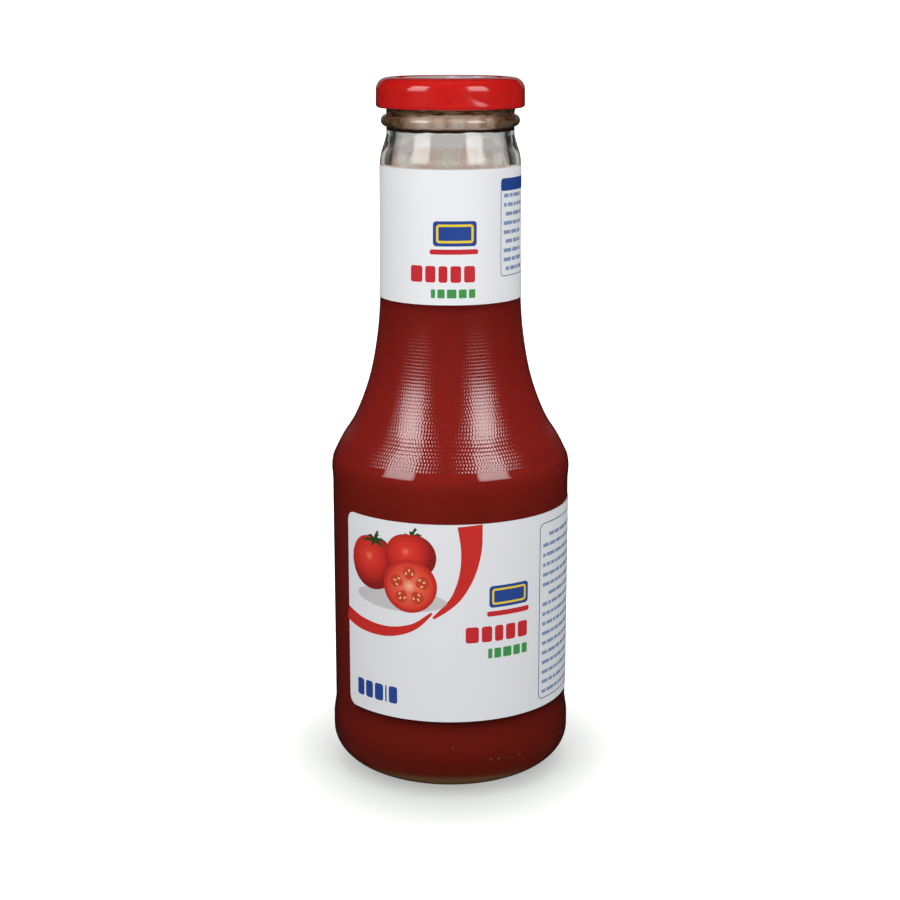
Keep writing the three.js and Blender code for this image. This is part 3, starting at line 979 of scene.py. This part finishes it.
# Places are (left, right, low, high), in mm from the front and up
neckPrint = {
    "badge": (-5.2, 7.9, 167.6, 175.0), "badgeCorner": 1.0, "frameInset": 1.3, "frameWidth": 0.7,
    "bar": (-6.2, 8.4, 165.2, 166.7), "redWord": (-12.3, 7.4, 156.9, 161.8), "redCorner": 0.7,
    "greenWord": (-5.8, 7.4, 152.3, 154.9),
    "table": (16.6, 46.0, 158.0, 186.8), "tableHead": 3.6, "tableRows": 9,
}
bodyPrint = {
    "badge": (11.9, 25.4, 60.6, 67.4), "badgeCorner": 1.1, "frameInset": 1.2, "frameWidth": 0.65,
    "bar": (11.2, 25.8, 57.9, 59.5), "redWord": (4.6, 25.2, 49.9, 54.9), "redCorner": 0.8,
    "greenWord": (11.6, 25.2, 44.6, 47.7), "weight": (-32.6, -16.8, 29.2, 34.6),
    "panel": (30.6, 62.0, 27.4, 83.8), "panelRows": 17,
    # the band: points along it, and its first width, how much of that goes, and how early
    "bands": (
        (((5.9, 86.6), (6.3, 79), (4.9, 71), (1.2, 63.6), (-5.2, 57.8)), 7.6, 6.9, 1.2),
        (((-37.6, 54.4), (-30, 52.6), (-20, 52.2), (-11.5, 54.6), (-5.6, 59.4)), 4.4, 3.7, 1.6),
    ),
}
blocks = {
    "red": (3.2, 2.6, 2.2, 2.6, 2.8), "redGap": 0.9,
    "green": (1.2, 2.0, 2.6, 2.2, 1.8), "greenGap": 0.7,
    "weight": (2.4, 2.4, 2.6, 0.4, 2.4), "weightGap": 0.8,
}
dashes = {"shortest": 1.2, "longest": 4.6, "gap": 0.55, "height": 1.1}


# A word's place is a row of plain rounded blocks, so that nothing can be read
def addBlocks(sheet, area, shares, gap, corner):
    left, right, low, high = area
    total = sum(shares)
    room = right - left - gap * (len(shares) - 1)
    at = left
    for share in shares:
        width = room * share / total
        addField(sheet, roundedColumns(at, at + width, low, high, min(corner, width / 2.2)))
        at += width + gap


# Small print is drawn as short plain dashes in even rows
def addDashes(sheet, left, right, z, dice, indent=0):
    at = left + indent
    while at < right - dashes["shortest"]:
        length = min(dice.uniform(dashes["shortest"], dashes["longest"]), right - at)
        addField(sheet, [(at, z, z + dashes["height"]), (at + length, z, z + dashes["height"])])
        at += length + dashes["gap"]


# The yellow line inside the badge
def makeBadgeFrame(label, pointAt, p):
    left, right, low, high = p["badge"]
    inset = p["frameInset"]
    sheet = newSheet(pointAt, 2)
    addFrame(sheet, (left + inset, right - inset, low + inset, high - inset), 0.6, p["frameWidth"])
    finishSheet(label + "_print_yellow", sheet, inks["yellow"])


# The bar under the badge, and the rows of blocks under that
def makeWords(label, pointAt, p):
    red = newSheet(pointAt, 1)
    addField(red, roundedColumns(*p["bar"], 0.6))
    addBlocks(red, p["redWord"], blocks["red"], blocks["redGap"], p["redCorner"])
    finishSheet(label + "_print_red", red, inks["red"])
    green = newSheet(pointAt, 1)
    addBlocks(green, p["greenWord"], blocks["green"], blocks["greenGap"], 0.3)
    finishSheet(label + "_print_green", green, inks["green"])


def makeNeckPrint():
    p = neckPrint
    dice = random.Random(7)
    left, right, low, high = p["table"]
    blue = newSheet(neckPoint, 1)
    addField(blue, roundedColumns(*p["badge"], p["badgeCorner"]))
    addFrame(blue, p["table"], 1.0, 0.22)
    addField(blue, roundedColumns(left, right, high - p["tableHead"], high, 0.9))
    finishSheet("neck_print_blue", blue, inks["blue"])
    pitch = (high - p["tableHead"] - low) / (p["tableRows"] + 0.3)
    text = newSheet(neckPoint, 1)
    for i in range(p["tableRows"]):
        z = high - p["tableHead"] - pitch * (i + 1) + 0.75
        addDashes(text, left + 1.2, left + 13, z, dice, 0.9 if i % 3 == 2 else 0)
        addDashes(text, right - 11, right - 1.2, z, dice)
    finishSheet("neck_print_small", text, inks["text"])
    makeBadgeFrame("neck", neckPoint, p)
    makeWords("neck", neckPoint, p)


def makeBodyPrint():
    p = bodyPrint
    dice = random.Random(11)
    left, right, low, high = p["panel"]
    blue = newSheet(bodyPoint, 1)
    addField(blue, roundedColumns(*p["badge"], p["badgeCorner"]))
    addFrame(blue, p["panel"], 2.0, 0.28)
    addBlocks(blue, p["weight"], blocks["weight"], blocks["weightGap"], 0.8)
    finishSheet("body_print_blue", blue, inks["blue"])
    text = newSheet(bodyPoint, 1)
    pitch = (high - low - 3) / p["panelRows"]
    for i in range(p["panelRows"]):
        z = high - 2.2 - pitch * (i + 0.72)
        addDashes(text, left + 1.5, right - 1.6, z, dice, 3.2 if i in (0, 6) else 0)
    finishSheet("body_print_small", text, inks["text"])
    makeBadgeFrame("body", bodyPoint, p)
    band = newSheet(bodyPoint, 1)
    for points, width, taper, power in p["bands"]:
        widths = [width - taper * (i / 24) ** power for i in range(25)]
        addStroke(band, smoothPoints(points, 24), widths)
    finishSheet("body_print_band", band, inks["band"])
    makeWords("body", bodyPoint, p)


# Two whole tomatoes with their leaves, and half of one in front of them, on a soft shade
tomatoes = {
    "shade": ((-16.5, 62.6), (15.5, 3.4)),       # middle and reach
    "left": ((-25.4, 73.2), (8.9, 8.6), 12),     # and how its leaves are turned
    "right": ((-12.4, 76.6), (8.2, 7.4), 40),
    "half": ((-12.6, 67.4), (8.6, 8.3)),
    "firstChamber": 18, "chambers": 5, "seedsInChamber": 3,
}


def addTomato(skin, leaf, middle, reach, turn):
    addField(skin, ellipseColumns(middle, reach, 18, 0.08), middle, reach)
    s, z = (middle[0] + 0.1 * reach[0], middle[1] + reach[1] * 0.80)
    for i in range(6):
        angle = math.radians(turn + 60 * i)
        length = reach[0] * (0.62 if i % 2 else 0.5)
        tip = (s + length * math.cos(angle), z + 0.42 * length * math.sin(angle) - 0.3)
        bend = (s + 0.55 * length * math.cos(angle), z + 0.3 * length * math.sin(angle) + 0.35)
        addStroke(leaf, [(s, z), bend, tip], [1.1, 0.9, 0.12])
    addStroke(leaf, [(s, z), (s + 0.3, z + 1.6), (s + 1.2, z + 3.0)], [0.9, 0.7, 0.8])


def makeTomatoes():
    t = tomatoes
    shade = newSheet(bodyPoint, 1)
    addField(shade, ellipseColumns(*t["shade"]))
    finishSheet("body_print_shade", shade, inks["shade"])
    leaves = newSheet(bodyPoint, 3)
    for name, layer in (("left", 2), ("right", 4)):
        skin = newSheet(bodyPoint, layer)
        addTomato(skin, leaves, *t[name])
        finishSheet("tomato_" + name, skin, inks["fruit"])
    finishSheet("tomato_leaves", leaves, inks["leaf"])
    middle, reach = t["half"]
    half = newSheet(bodyPoint, 6)
    addField(half, ellipseColumns(middle, reach, 18), middle, reach)
    finishSheet("tomato_half", half, inks["cut"])
    pulp = newSheet(bodyPoint, 7)
    seeds = newSheet(bodyPoint, 8)
    for i in range(t["chambers"]):
        turn = t["firstChamber"] + 360 / t["chambers"] * i
        ahead = (math.cos(math.radians(turn)), math.sin(math.radians(turn)))
        start = (middle[0] + 2.3 * ahead[0], middle[1] + 2.2 * ahead[1])
        end = (middle[0] + 6.3 * ahead[0], middle[1] + 6.1 * ahead[1])
        addStroke(pulp, linePoints(start, end, 2), [1.2, 4.2, 2.6])
        for k in range(t["seedsInChamber"]):
            spread = math.radians(turn + 15 * (k - 1))
            far = 4.0 + 0.9 * (k % 2)
            s, z = middle[0] + far * math.cos(spread), middle[1] + far * math.sin(spread)
            ends = [(s + way * 0.4 * ahead[0], z + way * 0.4 * ahead[1]) for way in (-1, 1)]
            addStroke(seeds, ends, [0.5, 0.5])
    finishSheet("tomato_pulp", pulp, inks["pulp"])
    finishSheet("tomato_seeds", seeds, inks["seed"])


makeNeckPrint()
makeBodyPrint()
makeTomatoes()

# A plain printed spot on the lid
lidPrint = {
    "middle": (4.2, -3.0), "foot": -0.06, "sides": 40,
    "discs": (("white", 5.6, 0.02, "#e6e9ee"), ("blue", 3.2, 0.04, "#3f62a8")),    # radius and lift
}


def makeLidPrint():
    sides = lidPrint["sides"]
    panelZ = lidSettings["topZ"] - lidSettings["panelDrop"]
    for name, radius, lift, colour in lidPrint["discs"]:
        vertices = []
        for height in (lidPrint["foot"], lift):
            for k in range(sides):
                turn = 2 * math.pi * k / sides
                x = lidPrint["middle"][0] + radius * math.cos(turn)
                y = lidPrint["middle"][1] + radius * math.sin(turn)
                vertices.append((x * mm, y * mm, (panelZ + height) * mm))
        faces = [(k, (k + 1) % sides, sides + (k + 1) % sides, sides + k) for k in range(sides)]
        faces.append([sides + k for k in range(sides)])
        faces.append([k for k in reversed(range(sides))])
        disc = addPiece("lid_print_" + name, vertices, faces, inkMaterial("lid " + name + " ink", colour))
        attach(disc, "root")


makeLidPrint()
print("labels and print made")

# Floor, lights and surroundings, in metres, degrees and radiance
studio = {
    "leftAngle": -52.4, "rightAngle": 43.9,
    "box": {"radiance": 1.75, "width": 0.275, "bottom": 0.217, "top": 0.66, "distance": 0.45},
    # the same light again for matt surfaces only, a little lower
    "bounceTurn": 0.76,
    "bounce": {"radiance": 2.4, "width": 0.4, "bottom": 0.1, "top": 0.55, "distance": 0.6},
    "behind": {"radiance": 1.2, "width": 0.9, "bottom": 0.1, "top": 0.7, "distance": 0.8},
    "overhead": {"radiance": 2.6, "width": 1.2, "bottom": 0, "top": 1.2, "distance": 0.0},
    "bounceAim": 0.1, "overheadPlace": (0, 0.05, 1.3),
    "boxLowEdge": 0.5,      # how bright a softbox is at its lower edge
    "floorReach": 2.2, "sweepStart": 0.9, "sweepRadius": 0.5, "sweepHeight": 1.6,
    "paintedShadowGlow": 0.30, "floorFarGlow": 0.9, "shadowStart": 0.03, "shadowEnd": 0.12,
    "fillAbove": 0.25, "fillBelow": 0.75, "roomGlow": 0.006,
    # greys from the middle of the room to its sides, as seen through the glass and in reflections
    "through": ((0.0, 0.95), (0.33, 0.90), (0.48, 0.05), (0.93, 0.03), (1.0, 0.3)),
    "reflected": ((0.0, 0.75), (0.06, 0.35), (0.35, 0.25), (0.6, 0.0)),
    "table": "#6e6850",
}


# White background paper, matt: even and bright, with a painted shadow: its glow is lower in a soft pool
# where the bottle stands
def floorMaterial():
    material, tree = startMaterial("white paper sweep")
    spot = addNode(tree, "TexCoord").outputs["Object"]
    wide = addNode(tree, "VectorMath", "MULTIPLY", (spot, (1.25, 1, 1)))
    away = addNode(tree, "VectorMath", "LENGTH", (wide,)).outputs["Value"]
    # the glow drops near the bottle, as a painted shadow
    glow = addNode(tree, "MapRange", {"interpolation_type": "SMOOTHSTEP"}, (
        away, studio["shadowStart"], studio["shadowEnd"], studio["paintedShadowGlow"], studio["floorFarGlow"],
    ))
    shader = addNode(tree, "BsdfPrincipled", inputs={
        "Base Color": (0.61, 0.625, 0.605, 1), "Roughness": 0.9, "Specular IOR Level": 0.0,
        "Emission Color": (1, 1, 1, 1), "Emission Strength": glow,
    })
    addNode(tree, "OutputMaterial", inputs={"Surface": shader})
    return material


def makeFloor():
    reach, start, radius = studio["floorReach"], studio["sweepStart"], studio["sweepRadius"]
    path = [(-reach, 0.0), (start, 0.0)]
    for turn in range(10, 91, 10):
        angle = math.radians(turn)
        path.append((start + radius * math.sin(angle), radius - radius * math.cos(angle)))
    path.append((start + radius, studio["sweepHeight"]))
    vertices = [(x, y, z) for y, z in path for x in (-reach, reach)]
    faces = [(2 * i, 2 * i + 1, 2 * i + 3, 2 * i + 2) for i in range(len(path) - 1)]
    sweep = addPiece("sweep", vertices, faces, floorMaterial())
    sweep.visible_transmission = False
    sweep.visible_glossy = False
    sweep.visible_diffuse = False


def addSoftbox(name, angle, box, aim, matt=True):
    light = bpy.data.lights.new(name, "AREA")
    light.shape = "RECTANGLE"
    light.size = box["width"]
    light.size_y = box["top"] - box["bottom"]
    light.energy = box["radiance"] * math.pi * light.size * light.size_y
    lamp = bpy.data.objects.new(name, light)
    bpy.context.scene.collection.objects.link(lamp)
    turn = math.radians(angle)
    middle = (box["bottom"] + box["top"]) / 2
    lamp.location = (box["distance"] * math.sin(turn), -box["distance"] * math.cos(turn), middle)
    ahead = Vector((0, 0, aim)) - lamp.location
    lamp.rotation_euler = ahead.to_track_quat("-Z", "Y").to_euler()
    lamp.visible_camera = False
    if matt:
        lamp.visible_glossy = False
        lamp.visible_transmission = False
    # the cloth of a softbox fades towards its rounded edges, and downwards
    light.use_nodes = True
    tree = light.node_tree
    tree.nodes.clear()
    spot = addNode(tree, "NewGeometry").outputs["Parametric"]
    fromMiddle = addNode(tree, "VectorMath", "SUBTRACT", (spot, (0.5, 0.5, 0)))
    share = addNode(tree, "VectorMath", "SCALE", {0: fromMiddle, "Scale": 2.0})
    parts = addNode(tree, "SeparateXYZ", inputs=(share,)).outputs
    fades = [addNode(tree, "MapRange", inputs=(parts[1], -1.0, -0.2, studio["boxLowEdge"], 1.0))]
    for k in (0, 1):
        far = addNode(tree, "Math", "ABSOLUTE", (parts[k],))
        steep = addNode(tree, "Math", "POWER", (far, 8.0))
        fades.append(addNode(tree, "Math", "SUBTRACT", (1.0, steep)))
    upright = addNode(tree, "Math", "MULTIPLY", (fades[2], fades[0]))
    both = addNode(tree, "Math", "MULTIPLY", (fades[1], upright))
    glow = addNode(tree, "Emission", inputs={"Strength": both})
    addNode(tree, "OutputLight", inputs={"Surface": glow})
    return lamp


def makeLights():
    s = studio
    boxMiddle = (s["box"]["bottom"] + s["box"]["top"]) / 2
    for side, angle in (("left", s["leftAngle"]), ("right", s["rightAngle"])):
        addSoftbox("softbox_" + side, angle, s["box"], boxMiddle, matt=False)
        addSoftbox("bounce_" + side, angle * s["bounceTurn"], s["bounce"], s["bounceAim"])
    addSoftbox("bounce_behind", 180, s["behind"], s["bounceAim"])
    top = addSoftbox("softbox_top", 0, s["overhead"], 0)
    top.location = s["overheadPlace"]
    top.rotation_euler = (0, 0, 0)


def makeWorld():
    world = bpy.data.worlds.new("studio")
    bpy.context.scene.world = world
    world.use_nodes = True
    tree = world.node_tree
    tree.nodes.clear()
    ahead = addNode(tree, "TexCoord").outputs["Generated"]
    x, y, z = addNode(tree, "SeparateXYZ", inputs=(ahead,)).outputs
    side = addNode(tree, "Math", "ABSOLUTE", (x,))
    # through clear glass: bright behind the bottle, dark at the sides and in front, brownish from below
    grey = addNode(tree, "ValToRGB", {"stops": studio["through"]}, (side,))
    back = addNode(tree, "MapRange", inputs=(y, -0.25, 0.25, 0.12, 1.0))
    down = addNode(tree, "MapRange", inputs=(z, -0.55, -0.4, 1.0, 0.0))
    grey = addNode(tree, "Mix", {"data_type": "RGBA"}, {0: down, 6: grey, 7: studio["table"]})
    back = addNode(tree, "Math", "MAXIMUM", (back, down))
    seen = addNode(tree, "Background", inputs={"Color": grey.outputs[2], "Strength": back})
    # reflections: a dark room with black boards at the sides, and a strip of the white sweep low behind
    near = addNode(tree, "ValToRGB", {"stops": studio["reflected"]}, (side,))
    rear = addNode(tree, "Math", "GREATER_THAN", (y, 0.5))
    over = addNode(tree, "Math", "COMPARE", (z, 0.16, 0.15))
    sweepSeen = addNode(tree, "Math", "MULTIPLY", (near, rear))
    sweepSeen = addNode(tree, "Math", "MULTIPLY", (sweepSeen, over))
    level = addNode(tree, "Math", "MULTIPLY_ADD", (sweepSeen, 0.5, studio["roomGlow"]))
    dark = addNode(tree, "Background", inputs={"Color": (1, 1, 1, 1), "Strength": level})
    # matt surfaces: an even fill, stronger from below
    below = addNode(tree, "MapRange", inputs=(z, -0.15, 0.15, studio["fillBelow"], studio["fillAbove"]))
    fill = addNode(tree, "Background", inputs={"Color": (1, 1, 1, 1), "Strength": below})
    paper = addNode(tree, "Background", inputs={"Color": (1, 1, 1, 1), "Strength": 1.0})
    rays = addNode(tree, "LightPath").outputs
    through = addNode(tree, "MixShader", inputs=(rays["Is Transmission Ray"], dark, seen))
    matt = addNode(tree, "Math", "GREATER_THAN", (rays["Diffuse Depth"], 0.5))
    mixed = addNode(tree, "MixShader", inputs=(matt, through, fill))
    mixed = addNode(tree, "MixShader", inputs=(rays["Is Camera Ray"], mixed, paper))
    addNode(tree, "OutputWorld", inputs={"Surface": mixed})


makeFloor()
makeLights()
makeWorld()

scene = bpy.context.scene
scene.view_settings.view_transform = "Standard"
scene.cycles.caustics_reflective = False
scene.cycles.caustics_refractive = False
scene.cycles.max_bounces = 16
scene.cycles.transmission_bounces = 14
scene.cycles.transparent_max_bounces = 16
print("studio made")
